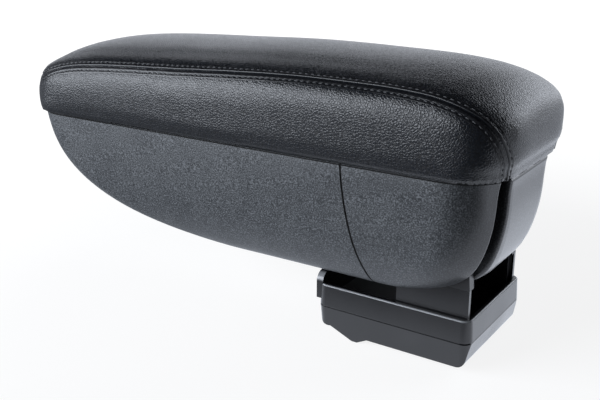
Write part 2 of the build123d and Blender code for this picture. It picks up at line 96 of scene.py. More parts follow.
def blend(tree, share, first, second, kind="MIX"):
    """Two colours mixed by a share from 0 to 1."""
    made = add(tree, "MixRGB", {"Fac": share, "Color1": first, "Color2": second}, blend_type=kind)
    return made.outputs["Color"]


def axes(tree, vector):
    """The X, Y and Z outputs of a vector."""
    return add(tree, "SeparateXYZ", {"Vector": vector}).outputs


def noise(tree, place, size, detail=2.0):
    """Soft noise whose patches are about this size in metres, from 0 to 1."""
    made = add(tree, "TexNoise", {"Vector": place, "Scale": 1 / size, "Detail": detail})
    return made.outputs["Fac"]


def spread(tree, value, at_start, at_end, start=0.3, end=0.7):
    """Numbers that run from one to another while a value runs from start to end."""
    made = add(tree, "MapRange", {"Value": value, "From Min": start, "From Max": end,
                                  "To Min": at_start, "To Max": at_end})
    return made.outputs["Result"]


def tint(tree, value, dark, light, start=0.3, end=0.7):
    """A 0 to 1 value turned into a colour between two."""
    ramp = add(tree, "ValToRGB", {"Fac": value})
    stops = ramp.color_ramp.elements
    stops[0].position, stops[0].color = start, (*dark, 1)
    stops[1].position, stops[1].color = end, (*light, 1)
    return ramp.outputs["Color"]


def feed(shader, socket, output):
    """Links a node's output to a socket of a finish's shader."""
    shader.id_data.links.new(output, shader.inputs[socket])


def relief(shader, height, depth, strength):
    """Raises the surface by a height pattern of this depth in metres."""
    bump = add(shader.id_data, "Bump", {"Height": height, "Distance": depth, "Strength": strength})
    feed(shader, "Normal", bump.outputs["Normal"])


def start_finish(name, roughness, specular=0.5, metallic=0.0):
    """A new finish with its steady values; returns the material, its tree, shader and place."""
    material = bpy.data.materials.new(name)
    material.use_nodes = True
    tree = material.node_tree
    shader = tree.nodes["Principled BSDF"]
    shader.inputs["Roughness"].default_value = roughness
    shader.inputs["Specular IOR Level"].default_value = specular
    shader.inputs["Metallic"].default_value = metallic
    place = add(tree, "TexCoord", {}).outputs["Object"]
    return material, tree, shader, place


def dress(material, *names):
    """Puts a finish on whole CAD pieces."""
    for name in names:
        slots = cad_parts[name].data.materials
        slots.clear()
        slots.append(material)


def black_moulding(name, low_roughness, high_roughness):
    """Black plastic from a polished tool."""
    material, tree, shader, place = start_finish(name, low_roughness)
    flow = noise(tree, place, BLACK_FLOW_SIZE, detail=4.0)
    skin = noise(tree, place, BLACK_SKIN_SIZE, detail=3.0)
    feed(shader, "Base Color", tint(tree, flow, BLACK_DARK, BLACK_LIGHT))
    feed(shader, "Roughness", spread(tree, flow, low_roughness, high_roughness))
    relief(shader, skin, depth=0.00008, strength=0.25)
    return material


adapter_black = black_moulding("adapter_black", low_roughness=0.16, high_roughness=0.27)
adapter_tree = adapter_black.node_tree
adapter_shader = adapter_tree.nodes["Principled BSDF"]
moulded_black = adapter_shader.inputs["Base Color"].links[0].from_socket
moulded_gloss = adapter_shader.inputs["Roughness"].links[0].from_socket
skin_up = axes(adapter_tree, add(adapter_tree, "NewGeometry", {}).outputs["Normal"])["Z"]
skin_height = axes(adapter_tree, add(adapter_tree, "TexCoord", {}).outputs["Object"])["Z"]
faces_up = maths(adapter_tree, "GREATER_THAN", skin_up, DECK_FACING)
low_down = maths(adapter_tree, "LESS_THAN", skin_height, DECK_LEVEL)
deck = maths(adapter_tree, "MULTIPLY", faces_up, low_down)
deck_dull = maths(adapter_tree, "MULTIPLY", deck, DECK_ROUGHNESS)
feed(adapter_shader, "Roughness", maths(adapter_tree, "MAXIMUM", deck_dull, moulded_gloss))
# Painted highlight: the rim's rounded edge above RIM_FOOT gets a pale base colour that stands in
# for the light it catches.
rim_rising = spread(adapter_tree, skin_up, 0.0, 1.0, *RIM_RISING)
rim_flat = spread(adapter_tree, skin_up, 1.0, 0.0, *RIM_FLAT)
rim_round = maths(adapter_tree, "MULTIPLY", rim_rising, rim_flat)
rim_high = maths(adapter_tree, "GREATER_THAN", skin_height, RIM_FOOT)
rim_highlight_share = maths(adapter_tree, "MULTIPLY", rim_round, rim_high)
feed(adapter_shader, "Base Color", blend(adapter_tree, rim_highlight_share, moulded_black, (*RIM_PAINTED_HIGHLIGHT, 1)))
dress(adapter_black, "adapter_tray", "adapter_frame")


# Screws: self-tapping pan heads in bright zinc plate, with the faint cloudy bloom of the plating.
# Four join the adapter, four lock the leg, four hold the cheeks and six hold the lid's liner.
def grained(name, dark, light, size, detail, depth, strength,
            roughness, rough_to=None, specular=0.5, metallic=0.0):
    """A finish with one grain that tones it, raises it and, up to rough_to, dulls it."""
    material, tree, shader, place = start_finish(name, roughness, specular, metallic)
    grain = noise(tree, place, size, detail)
    feed(shader, "Base Color", tint(tree, grain, dark, light))
    if rough_to is not None:
        feed(shader, "Roughness", spread(tree, grain, roughness, rough_to))
    relief(shader, grain, depth, strength)
    return material


def plated_steel(name, dark, light, roughness):
    """Plated steel with a cloudy bloom."""
    return grained(name, dark, light, size=0.002, detail=4.0, depth=0.00003, strength=0.3,
                   roughness=roughness, rough_to=roughness + 0.15, metallic=1.0)


zinc = plated_steel("screw_zinc", (0.38, 0.38, 0.40), (0.58, 0.58, 0.60), roughness=0.28)
dress(zinc, "adapter_screws", "leg_screws", "cheek_screws", "liner_screws")


# Rest pad: a strip of black rubber glued on the adapter's front lip. The bin comes down on it,
# and its skin is dull with a fine powdery grain.
rubber = grained("pad_rubber", (0.022, 0.022, 0.022), (0.036, 0.036, 0.036), size=0.0007,
                 detail=3.0, depth=0.0001, strength=0.4, roughness=0.78, specular=0.35)
dress(rubber, "rest_pad")


# Fork leg: one moulding of glass-filled black nylon, plugged into the adapter's socket.
# Its two arms rise into the slots of the bin. It is a little duller than the adapter.
leg_black = black_moulding("leg_black", low_roughness=0.30, high_roughness=0.44)
dress(leg_black, "leg")


# Fold pivot: a turned steel pin through the fork, spring-steel rings on its ends, and nylon bushes
# and washers that it runs in. The pin shows turning lines round it.
PIN_LIGHT = (0.60, 0.60, 0.61)
PIN_DARK = [0.8 * channel for channel in PIN_LIGHT]
bar_steel, bar_tree, bar_shader, bar_place = start_finish(
    "pin_steel", roughness=0.28, metallic=1.0)
rings = add(bar_tree, "TexWave", {"Vector": bar_place, "Scale": 900.0, "Distortion": 1.5,
                                  "Detail": 2.0}, wave_type="BANDS", bands_direction="Y")
feed(bar_shader, "Base Color", tint(bar_tree, rings.outputs["Fac"], PIN_DARK, PIN_LIGHT))
relief(bar_shader, rings.outputs["Fac"], depth=0.00002, strength=0.25)
dress(bar_steel, "pivot_pin")
clip_steel = plated_steel("clip_steel", (0.10, 0.10, 0.11), (0.20, 0.20, 0.21), roughness=0.34)
dress(clip_steel, "pin_clips")
nylon, nylon_tree, nylon_shader, nylon_place = start_finish("bush_nylon", roughness=0.46)
nylon_cloud = noise(nylon_tree, nylon_place, size=0.004, detail=3.0)
nylon_tone = tint(nylon_tree, nylon_cloud, (0.62, 0.60, 0.54), (0.76, 0.75, 0.70))
feed(nylon_shader, "Base Color", nylon_tone)
nylon_skin = noise(nylon_tree, nylon_place, size=0.0006)
relief(nylon_shader, nylon_skin, depth=0.00004, strength=0.3)
dress(nylon, "friction_washers", "pivot_bushes")


# Bin and its two cheeks: charcoal polypropylene from a spark-eroded tool, which leaves a dense,
# dull grain of fine specks, smoother at the rear. The palest specks are painted glints, and the
# rear is painted darker as painted shade. The cheeks are screwed on from inside the bin, over the
# fork arms. Painted shade darkens the edges of their joint lines and the bin's edge under the lid.
CHARCOAL_DARK = (0.030, 0.033, 0.037)
CHARCOAL_LIGHT = (0.098, 0.105, 0.114)
CHARCOAL_PAINTED_GLINT = (0.190, 0.200, 0.214)
CHARCOAL_ROUGHNESS = (0.40, 0.60)
SPECK_SIZE = 0.0008
SPECK_DEPTH = 0.00025
PATCH_SIZE = 0.022
PATCH_DARK = (0.76, 0.76, 0.76)
PATCH_LIGHT = (1.02, 1.01, 0.99)
PAINTED_SHADE_BLACK = (0.004, 0.004, 0.004)
JOINT_MIDDLE = (0.2077, 0.0, 0.1314)
JOINT_RADIUS = 0.2348
JOINT_INNER = 0.031
JOINT_EDGE = (0.00060, 0.00085)
RIM_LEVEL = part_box("bin")[1].z
RIM_LINE = 0.0009
RIM_LINE_FADE = 0.0003
RIM_TOP_EDGE = (0.00016, 0.00006)
REAR_START = 0.030
REAR_END = 0.056
REAR_GLOSS = 0.285
REAR_PAINTED_SHADE = 0.55
FRONT_GRAIN = 0.6
REAR_GRAIN = 0.15
charcoal, charcoal_tree, charcoal_shader, charcoal_place = start_finish(
    "bin_charcoal", roughness=0.52)
bin_place = axes(charcoal_tree, charcoal_place)

specks = noise(charcoal_tree, charcoal_place, SPECK_SIZE, detail=0.0)
patches = noise(charcoal_tree, charcoal_place, PATCH_SIZE, detail=4.0)
speck_tone = tint(charcoal_tree, specks, CHARCOAL_DARK, CHARCOAL_LIGHT, start=0.30, end=0.66)
patch_tone = tint(charcoal_tree, patches, PATCH_DARK, PATCH_LIGHT, start=0.35, end=0.65)
mottled = blend(charcoal_tree, 1.0, speck_tone, patch_tone, "MULTIPLY")
# Painted highlight: the palest specks are lifted to a light grey base colour as painted glints on
# the grain.
painted_glint_share = spread(charcoal_tree, specks, at_start=0.0, at_end=0.5, start=0.60, end=0.74)
speckled_and_glinted = blend(charcoal_tree, painted_glint_share, mottled, (*CHARCOAL_PAINTED_GLINT, 1))

# Painted shade: a dark line along the cheeks' joints with the bin, standing in for the shade in the
# joint gaps.
from_middle = add(charcoal_tree, "Mapping", {"Vector": charcoal_place, "Scale": (1, 0, 1),
                                             "Location": [-value for value in JOINT_MIDDLE]})
joint_reach = add(charcoal_tree, "VectorMath", {0: from_middle.outputs["Vector"]},
                  operation="LENGTH").outputs["Value"]
joint_off = maths(charcoal_tree, "SUBTRACT", joint_reach, JOINT_RADIUS)
joint_near = maths(charcoal_tree, "ABSOLUTE", joint_off)
joint_shade_line = spread(charcoal_tree, joint_near, 1.0, 0.0, *JOINT_EDGE)
off_middle = maths(charcoal_tree, "ABSOLUTE", bin_place["Y"])
on_cheek = maths(charcoal_tree, "GREATER_THAN", off_middle, JOINT_INNER)

# Painted shade: a dark line just under the bin's rim, standing in for the shade in the gap under
# the lid.
rim_side = spread(charcoal_tree, bin_place["Z"], 0.0, 1.0,
                  RIM_LEVEL - RIM_LINE - RIM_LINE_FADE, RIM_LEVEL - RIM_LINE)
rim_top = spread(charcoal_tree, bin_place["Z"], 1.0, 0.0,
                 RIM_LEVEL - RIM_TOP_EDGE[0], RIM_LEVEL - RIM_TOP_EDGE[1])
lid_gap_shade_line = maths(charcoal_tree, "MULTIPLY", rim_side, rim_top)
painted_shade_lines = maths(charcoal_tree, "MULTIPLY_ADD", joint_shade_line, on_cheek, lid_gap_shade_line, clamp=True)
shade_lined = blend(charcoal_tree, painted_shade_lines, speckled_and_glinted, (*PAINTED_SHADE_BLACK, 1))

rear_share = spread(charcoal_tree, bin_place["X"], 0.0, 1.0, REAR_START, REAR_END)
# Painted shade: the base colour is darkened towards the rear, where the surface is also made
# glossier.
rear_painted_shade = tint(charcoal_tree, rear_share, (1, 1, 1), [REAR_PAINTED_SHADE] * 3, start=0.0, end=1.0)
feed(charcoal_shader, "Base Color", blend(charcoal_tree, 1.0, shade_lined, rear_painted_shade, "MULTIPLY"))
grain_dull = spread(charcoal_tree, specks, *CHARCOAL_ROUGHNESS)
skin_dull = blend(charcoal_tree, rear_share, grain_dull, (REAR_GLOSS, REAR_GLOSS, REAR_GLOSS, 1))
feed(charcoal_shader, "Roughness", maths(charcoal_tree, "MAXIMUM", skin_dull, painted_shade_lines))
grain_share = spread(charcoal_tree, rear_share, FRONT_GRAIN, REAR_GRAIN, start=0.0, end=1.0)
relief(charcoal_shader, specks, SPECK_DEPTH, grain_share)
dress(charcoal, "bin", "left_cheek", "right_cheek")


# Lid hinge rod, magnet and catch plate: a ground steel rod pressed into the bin's rear edge, a
# round ferrite magnet in the front of the bin, and a zinc-plated disc in the liner over it.
dress(bar_steel, "hinge_rod")
dress(zinc, "catch_plate")
ferrite = grained("magnet_ferrite", (0.055, 0.055, 0.058), (0.11, 0.11, 0.115), size=0.0008,
                  detail=4.0, depth=0.00008, strength=0.4, roughness=0.62)
dress(ferrite, "catch_magnet")


# Lid board and liner: the pad is built on pressed fibreboard, closed below by a black polypropylene
# liner with a fine grain. The liner's rib drops into the bin and its two leaves turn on the rod.
board, board_tree, board_shader, board_place = start_finish(
    "lid_fibreboard", roughness=0.85, specular=0.3)
fibres = add(board_tree, "TexNoise", {"Vector": board_place, "Scale": 420.0, "Detail": 6.0,
                                      "Distortion": 1.2}).outputs["Fac"]
board_tone = tint(board_tree, fibres, (0.27, 0.19, 0.12), (0.44, 0.34, 0.23))
feed(board_shader, "Base Color", board_tone)
relief(board_shader, fibres, depth=0.0002, strength=0.5)
dress(board, "lid_base")
liner = grained("liner_black", (0.022, 0.022, 0.024), (0.040, 0.040, 0.043), size=0.0009,
                detail=3.0, depth=0.00015, strength=0.5, roughness=0.42, rough_to=0.6,
                specular=0.45)
dress(liner, "lid_liner")


# Lid pad: foam on the board under a sewn cover of black pebbled leather. The cover is pulled tight,
# hemmed under the board, and sewn to a side band, so it swells between the seam and the hem.
PAD_VOXEL = 0.0042
PAD_SLACK = 0.0006
PAD_SWELL = 0.0010
PAD_PRESSURE = 60.0
PAD_STEPS = 20
PAD_SMOOTHING = 3
PAD_HEM_HOLD = 0.0028
PAD_HEM_EASE = 0.0080
PAD_SEAM_HOLD = 0.0036
SEAM_DEPTH = 0.0028
SEAM_REACH = 0.0120
SEAM_FALL = 1.5
SEAM_GUIDE_STEP = 0.002
CORNER_START = -0.010
CORNER_EASE = 0.050
CORNER_MOST = 0.85
REAR_FULL = 0.0036
REAR_SPAN = (-0.040, 0.050)
REAR_TOP_SHARE = 0.4
NOSE_FULL = 0.0010
NOSE_SPAN = (-0.250, -0.290)
CREST_FLAT = 0.0011
CREST_SPAN = (-0.080, -0.160)
HEM_TUCK = 0.0010
HEM_TUCK_HEIGHT = 0.0100
HEM_GAP = 0.0003
HEM_BAND = 0.002
HEM_FACING = -0.5
LINER_MARGIN = 0.0025
LINER_LOOK = 0.01
LEATHER_GROOVE_SHADE = (0.001, 0.001, 0.0015)
LEATHER_LIGHT = (0.008, 0.010, 0.014)
PEBBLES_PER_METRE = 640.0
PEBBLE_WANDER = (0.0007, 0.0007, 0.0007)
PEBBLE_EDGE = 0.18
PEBBLE_DOME = 0.45
PEBBLE_DOME_SHARE = 0.70
PEBBLE_DEPTH = 0.00020
SEAM_NEAR_SIDE = (
    (0.0640, -0.0392, 0.1196), (0.0664, -0.0400, 0.1212), (0.0671, -0.0418, 0.1262),
    (0.0666, -0.0432, 0.1323), (0.0654, -0.0455, 0.1384), (0.0632, -0.0491, 0.1454),
    (0.0600, -0.0517, 0.1504), (0.0547, -0.0537, 0.1550), (0.0472, -0.0552, 0.1588),
    (0.0383, -0.0555, 0.1618), (0.0266, -0.0555, 0.1644), (0.0087, -0.0557, 0.1668),
    (-0.0126, -0.0555, 0.1682), (-0.0560, -0.0565, 0.1685), (-0.0907, -0.0584, 0.1670),
    (-0.1285, -0.0598, 0.1650), (-0.1608, -0.0610, 0.1630), (-0.1957, -0.0617, 0.1610),
    (-0.2337, -0.0620, 0.1581), (-0.2517, -0.0620, 0.1555), (-0.2637, -0.0626, 0.1522),
    (-0.2700, -0.0629, 0.1493), (-0.2749, -0.0623, 0.1465), (-0.2880, -0.0500, 0.1440),
    (-0.2950, -0.0250, 0.1425),
)
SEAM_NOSE = (-0.2965, 0.0, 0.1420)


def into_scene(name, made):
    """A new object at the origin from a bmesh."""
    mesh = bpy.data.meshes.new(name)
    made.to_mesh(mesh)
    made.free()
    piece = bpy.data.objects.new(name, mesh)
    bpy.context.scene.collection.objects.link(piece)
    return piece


def apply_modifiers(piece):
    """Fixes what the piece's modifiers make into its own mesh."""
    ready = piece.evaluated_get(bpy.context.evaluated_depsgraph_get())
    mesh = bpy.data.meshes.new_from_object(ready)
    piece.modifiers.clear()
    piece.data = mesh


def reshape(piece, work):
    """Runs a step of bmesh work on a piece's mesh."""
    made = bmesh.new()
    made.from_mesh(piece.data)
    work(made)
    made.to_mesh(piece.data)
    made.free()


def surface_of(mesh):
    """A mesh's surface, to look up points on."""
    made = bmesh.new()
    made.from_mesh(mesh)
    surface = BVHTree.FromBMesh(made)
    made.free()
    return surface


def shade_smooth(piece):
    """Shades a piece as one rounded surface."""
    for polygon in piece.data.polygons:
        polygon.use_smooth = True


def seam_points(spacing):
    """The seam round the lid, read off a smooth spline at an even spacing."""
    far_side = [(x, -y, z) for x, y, z in reversed(SEAM_NEAR_SIDE)]
    curve = bpy.data.curves.new("seam_line", "CURVE")
    curve.dimensions = "3D"
    curve.resolution_u = 16
    spline = curve.splines.new("NURBS")
    stops = [*SEAM_NEAR_SIDE, SEAM_NOSE, *far_side]
    spline.points.add(len(stops) - 1)
    for point, stop in zip(spline.points, stops):
        point.co = (*stop, 1)
    spline.order_u = 3
    spline.use_endpoint_u = True
    line = bpy.data.objects.new("seam_line", curve)
    mesh = bpy.data.meshes.new_from_object(line)
    dense = [vertex.co.copy() for vertex in mesh.vertices]
    bpy.data.objects.remove(line)
    even = [dense[0]]
    for point in dense[1:]:
        while (point - even[-1]).length >= spacing:
            even.append(even[-1] + (point - even[-1]).normalized() * spacing)
    return even


cover = bmesh.new()
cover.from_mesh(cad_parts["lid_cover"].data)
bmesh.ops.remove_doubles(cover, verts=cover.verts, dist=1e-6)
cover_low, cover_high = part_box("lid_cover")
cover_middle = (cover_low + cover_high) / 2
inside = [face for face in cover.faces
          if face.normal.dot(face.calc_center_median() - cover_middle) < 0]
bmesh.ops.delete(cover, geom=inside, context="FACES")
bmesh.ops.holes_fill(cover, edges=[edge for edge in cover.edges if edge.is_boundary], sides=0)
bmesh.ops.recalc_face_normals(cover, faces=cover.faces)
cover.normal_update()
cover_surface = BVHTree.FromBMesh(cover)

seam_stops = seam_points(SEAM_GUIDE_STEP)
seam_guide = KDTree(len(seam_stops))
for index, stop in enumerate(seam_stops):
    seam_guide.insert(stop, index)
seam_guide.balance()


def limited(value):
    """A value kept between 0 and 1."""
    return min(1.0, max(0.0, value))


def part_way(value, start, end):
    """A smooth step from 0 at the start to 1 at the end."""
    share = limited((value - start) / (end - start))
    return share * share * (3.0 - 2.0 * share)


def above_hem(point):
    """Nothing at the tight lower edge, all higher up."""
    hem_end = cover_low.z + PAD_HEM_HOLD
    return part_way(point.z, hem_end, hem_end + PAD_HEM_EASE)


def slack_at(point):
    """How far the cover lies inside its full form: most at the seam, less at the rear corners."""
    pull = max(0.0, 1.0 - seam_guide.find(point)[2] / SEAM_REACH)
    corner = min(CORNER_MOST, max(0.0, (point.x - CORNER_START) / CORNER_EASE))
    return above_hem(point) * (PAD_SLACK + SEAM_DEPTH * (1.0 - corner) * pull ** SEAM_FALL)


def fullness_at(point, facing):
    """How far the foam pushes the cover out: full at rear and nose, flatter on the crest."""
    rear = part_way(point.x, *REAR_SPAN) * limited(facing.x + REAR_TOP_SHARE * facing.z)
    nose = part_way(point.x, *NOSE_SPAN) * max(0.0, -facing.x)
    crest = part_way(point.x, *CREST_SPAN) * max(0.0, facing.z)
    return above_hem(point) * (REAR_FULL * rear + NOSE_FULL * nose - CREST_FLAT * crest)


for vertex in cover.verts:
    vertex.co -= vertex.normal * slack_at(vertex.co)
lid_pad = into_scene("lid_pad", cover)
remesh = lid_pad.modifiers.new("even_mesh", "REMESH")
remesh.mode = "VOXEL"
remesh.voxel_size = PAD_VOXEL
apply_modifiers(lid_pad)

slack_form = [vertex.co.copy() for vertex in lid_pad.data.vertices]
held = lid_pad.vertex_groups.new(name="held")
for index, point in enumerate(slack_form):
    if point.z < cover_low.z + PAD_HEM_HOLD or seam_guide.find(point)[2] < PAD_SEAM_HOLD:
        held.add([index], 1.0, "REPLACE")
swell = lid_pad.modifiers.new("swell", "CLOTH")
swell.settings.quality = 6
swell.settings.mass = 0.25
swell.settings.tension_stiffness = 4.0
swell.settings.compression_stiffness = 4.0
swell.settings.bending_stiffness = 0.5
swell.settings.use_pressure = True
swell.settings.uniform_pressure_force = PAD_PRESSURE
swell.settings.effector_weights.gravity = 0.0
swell.settings.vertex_group_mass = "held"
for step in range(1, PAD_STEPS + 1):
    bpy.context.scene.frame_set(step)
apply_modifiers(lid_pad)
bpy.context.scene.frame_set(1)
for vertex, start in zip(lid_pad.data.vertices, slack_form):
    spot, facing, _, _ = cover_surface.find_nearest(start)
    rise = (vertex.co - start).dot(facing)
    swollen = min(max(rise, 0.0), PAD_SWELL) - slack_at(start) + fullness_at(start, facing)
    vertex.co = spot + facing * swollen


def soften(made):
    """The leather evens out what lies under it."""
    for _ in range(PAD_SMOOTHING):
        bmesh.ops.smooth_vert(made, verts=made.verts, factor=0.5,
                              use_axis_x=True, use_axis_y=True, use_axis_z=True)


def turn_under(made):
    """The lower edge is pulled tight round the board, where the cover has its full form."""
    for vertex in made.verts:
        spot, facing, _, _ = cover_surface.find_nearest(vertex.co)
        tuck = HEM_TUCK * max(0.0, 1.0 - (spot.z - cover_low.z) / HEM_TUCK_HEIGHT)
        spot -= Vector((facing.x, facing.y, 0.0)) * tuck
        vertex.co = vertex.co.lerp(spot, 1.0 - above_hem(vertex.co))


liner_surface = surface_of(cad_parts["lid_liner"].data)
liner_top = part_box("lid_liner")[1].z
hem_level = cover_low.z + HEM_GAP


def seat_on_liner(made):
    """The hem lies flat under the board, and the cover stops short of the liner's plate."""
    sides = (-LINER_MARGIN, LINER_MARGIN)
    for vertex in made.verts:
        if vertex.co.z > hem_level + HEM_BAND or vertex.normal.z > HEM_FACING:
            continue
        vertex.co.z = hem_level
        over = [liner_surface.ray_cast(vertex.co + Vector((dx, dy, LINER_LOOK)),
                                       Vector((0, 0, -1)))[0] for dx in sides for dy in sides]
        if all(over):
            vertex.co.z = liner_top + HEM_GAP


reshape(lid_pad, soften)
finer = lid_pad.modifiers.new("finer", "SUBSURF")
finer.levels = finer.render_levels = 1
apply_modifiers(lid_pad)
reshape(lid_pad, turn_under)
reshape(lid_pad, seat_on_liner)
shade_smooth(lid_pad)

leather, leather_tree, leather_shader, leather_place = start_finish(
    "lid_leather", roughness=0.30, specular=0.48)
wander = add(leather_tree, "TexNoise", {"Vector": leather_place, "Scale": 420.0, "Detail": 1.0})
bent = add(leather_tree, "VectorMath", {0: wander.outputs["Color"], 1: PEBBLE_WANDER},
           operation="MULTIPLY")
shifted = add(leather_tree, "VectorMath", {0: leather_place, 1: bent.outputs["Vector"]},
              operation="ADD")
pebbles = add(leather_tree, "TexVoronoi", {"Vector": shifted.outputs["Vector"],
                                           "Scale": PEBBLES_PER_METRE},
              feature="DISTANCE_TO_EDGE").outputs["Distance"]
pebble = spread(leather_tree, pebbles, 0.0, 1.0, 0.0, PEBBLE_EDGE)
pebble_dome = spread(leather_tree, pebbles, 0.0, 1.0, 0.0, PEBBLE_DOME)
# Painted shade: the pebbles' grooves are darker than their tops, standing in for the shade inside
# them.
leather_tone_with_groove_shade = tint(leather_tree, pebble, LEATHER_GROOVE_SHADE, LEATHER_LIGHT, start=0.0, end=0.9)
feed(leather_shader, "Base Color", leather_tone_with_groove_shade)
wear = noise(leather_tree, leather_place, size=0.05, detail=3.0)
worn_dull = spread(leather_tree, wear, at_start=0.0, at_end=0.03)
pebble_dull = spread(leather_tree, pebble, at_start=0.38, at_end=0.28, start=0.0, end=0.8)
feed(leather_shader, "Roughness", maths(leather_tree, "ADD", pebble_dull, worn_dull))
grain = blend(leather_tree, PEBBLE_DOME_SHARE, pebble, pebble_dome)
relief(leather_shader, grain, PEBBLE_DEPTH, strength=0.65)
lid_pad.data.materials.clear()
lid_pad.data.materials.append(leather)
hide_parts("lid_cover", "lid_foam")
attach(lid_pad, "lid")


# Seam welt: where the top panel meets the side band, the two leather edges are folded under and
# sewn down, which leaves a narrow groove between two low ridges all round the lid.
WELT_STEP = 0.00105
WELT_HALF = (
    (0.0000, -0.00120), (0.00028, -0.00095), (0.00048, -0.00015), (0.0008, 0.00022),
    (0.0013, 0.00032), (0.0019, 0.00026), (0.0024, 0.00010), (0.0028, -0.00012),
    (0.0031, -0.00020), (0.0034, -0.00012), (0.0038, 0.00002), (0.0045, 0.00000),
    (0.0053, -0.00030),
)
WELT_BAND_RISE = 0.35
WELT_SECTION = [(-aside, min(height, height * WELT_BAND_RISE))
                for aside, height in reversed(WELT_HALF[1:])]
WELT_SECTION += WELT_HALF
WELT_RISE = 0.00012
WELT_LOOK = 0.012
WELT_LOOK_REACH = 0.03
LINE_EVENING = 3
NORMAL_EVENING = 6
WAY_STEPS = 2
STITCH_PITCH = 4
STITCH_ASIDE = 0.0031
STITCH_CHANNEL = 0.0004
STITCH_PRESS = (0.00020, -0.00020, -0.00045, -0.00020)
pad_surface = surface_of(lid_pad.data)


def evened(values, reach):
    """A list of vectors, each averaged with its neighbours."""
    result = []
    for index in range(len(values)):
        near = values[max(0, index - reach):index + reach + 1]
        result.append(sum(near, Vector()) / len(near))
    return result


def on_pad(point, normal):
    """The point of the pad's surface under a point."""
    spot = pad_surface.ray_cast(point + normal * WELT_LOOK, -normal, WELT_LOOK_REACH)[0]
    return pad_surface.find_nearest(point)[0] if spot is None else spot


seam_line = evened([pad_surface.find_nearest(stop)[0] for stop in seam_points(WELT_STEP)],
                   LINE_EVENING)
seam_normals = evened([pad_surface.find_nearest(stop)[1] for stop in seam_line], NORMAL_EVENING)
seam_frames = []
for index, normal in enumerate(seam_normals):
    ahead = seam_line[min(index + WAY_STEPS, len(seam_line) - 1)]
    behind = seam_line[max(index - WAY_STEPS, 0)]
    way = (ahead - behind).normalized()
    facing = normal.normalized()
    seam_frames.append((seam_line[index], facing, way, way.cross(facing).normalized()))
welt = bmesh.new()
row = [welt.verts.new(Vector()) for _ in WELT_SECTION]
strip = [welt.edges.new(pair) for pair in zip(row, row[1:])]
for index, (stop, facing, _, across) in enumerate(seam_frames):
    if index:
        grown = bmesh.ops.extrude_edge_only(welt, edges=strip)["geom"]
        strip = [item for item in grown if isinstance(item, bmesh.types.BMEdge)
                 and item.verts[0] not in row and item.verts[1] not in row]
        row = [item for item in grown if isinstance(item, bmesh.types.BMVert)]
    for vertex, (aside, height) in zip(row, WELT_SECTION):
        if abs(abs(aside) - STITCH_ASIDE) < STITCH_CHANNEL:
            height += STITCH_PRESS[index % STITCH_PITCH]
        vertex.co = on_pad(stop + across * aside, facing) + facing * (height + WELT_RISE)
bmesh.ops.recalc_face_normals(welt, faces=welt.faces)
seam_welt = into_scene("seam_welt", welt)
shade_smooth(seam_welt)
drawn_leather = grained("seam_leather", (0.004, 0.004, 0.005), (0.012, 0.013, 0.015),
                        size=0.0012, detail=2.0, depth=0.00012, strength=0.4,
                        roughness=0.285, rough_to=0.38, specular=0.4)
seam_welt.data.materials.append(drawn_leather)
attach(seam_welt, "lid")


# Topstitching: black polyester thread in a row on each side of the groove. Each stitch is a short
# rounded float of thread that dips into the leather at its needle holes.
STITCH_HALF = 0.00130
STITCH_THICK = 0.00045
STITCH_SUNK = 0.5
stitch_size = (Matrix.Diagonal((STITCH_HALF, STITCH_THICK, STITCH_THICK, 1))
               @ Matrix.Rotation(radians(90), 4, "Y"))
stitches = bmesh.new()
for stop, facing, way, across in seam_frames[STITCH_PITCH // 2:-2:STITCH_PITCH]:
    for side in (-1, 1):
        spot = on_pad(stop + across * side * STITCH_ASIDE, facing)
        rest = Matrix.Translation(spot + facing * (WELT_RISE - STITCH_THICK * STITCH_SUNK))
        turn = Matrix((way, across, way.cross(across))).transposed().to_4x4()
        bmesh.ops.create_uvsphere(stitches, u_segments=6, v_segments=6, radius=1.0,
                                  matrix=rest @ turn @ stitch_size)
bmesh.ops.recalc_face_normals(stitches, faces=stitches.faces)
lid_stitches = into_scene("lid_stitches", stitches)
shade_smooth(lid_stitches)
thread = grained("stitch_thread", (0.045, 0.045, 0.048), (0.115, 0.117, 0.122), size=0.0004,
                 detail=2.0, depth=0.00008, strength=0.5, roughness=0.65, specular=0.3)
lid_stitches.data.materials.append(thread)
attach(lid_stitches, "lid")


# Studio: a white floor and surround, lit behind and to the right and dark in front, one large soft
# lamp at the front left, a dimmer one behind, and the camera at the angle of the photograph.
FLOOR_GAP = 0.0002
FLOOR_LEVEL = cad_box[0].z - FLOOR_GAP
FLOOR_HALF = 4.0
PAPER_WHITE = (0.92, 0.92, 0.92, 1)
PAPER_GREY = (0.20, 0.20, 0.20, 1)
GLOW_WHITE = (1, 1, 1, 1)
GLOW_STRENGTH = 1.14
RIGHT_WAY = (0.707, 0.707, 0.0)
MIRROR_TONE = (0.85, 0.90, 1.0, 1)
CHEEK_GLOW = 3.2
TRAY_GLOW = 1.7
SKY_TONE = (0.88, 0.92, 1.0)
SKY_TOP_TONE = (0.03, 0.03, 0.033)
SKY_EDGE = (0.42, 0.48)
SKY_DIM = (0.10, 0.10, 0.10, 1)
LAMP_TONE = (0.87, 0.92, 1.0)
REAR_LAMP_TONE = (0.86, 0.91, 1.0)
ARMREST_MIDDLE = (-0.10, 0.0, 0.11)
BIN_REAR = (0.05, 0.0, 0.10)


def round_glow(tree, place, scale, location=(0, 0, 0)):
    """A round spot on the floor that fades from 1 in its middle to 0 at its edge."""
    moved = add(tree, "Mapping", {"Vector": place, "Scale": scale, "Location": location})
    made = add(tree, "TexGradient", {"Vector": moved.outputs["Vector"]}, gradient_type="SPHERICAL")
    return made.outputs["Fac"]


def mix_shaders(tree, share, first, second):
    """Two shaders mixed by a share from 0 to 1."""
    sockets = {0: share, 1: first.outputs[0], 2: second.outputs[0]}
    return add(tree, "MixShader", sockets)


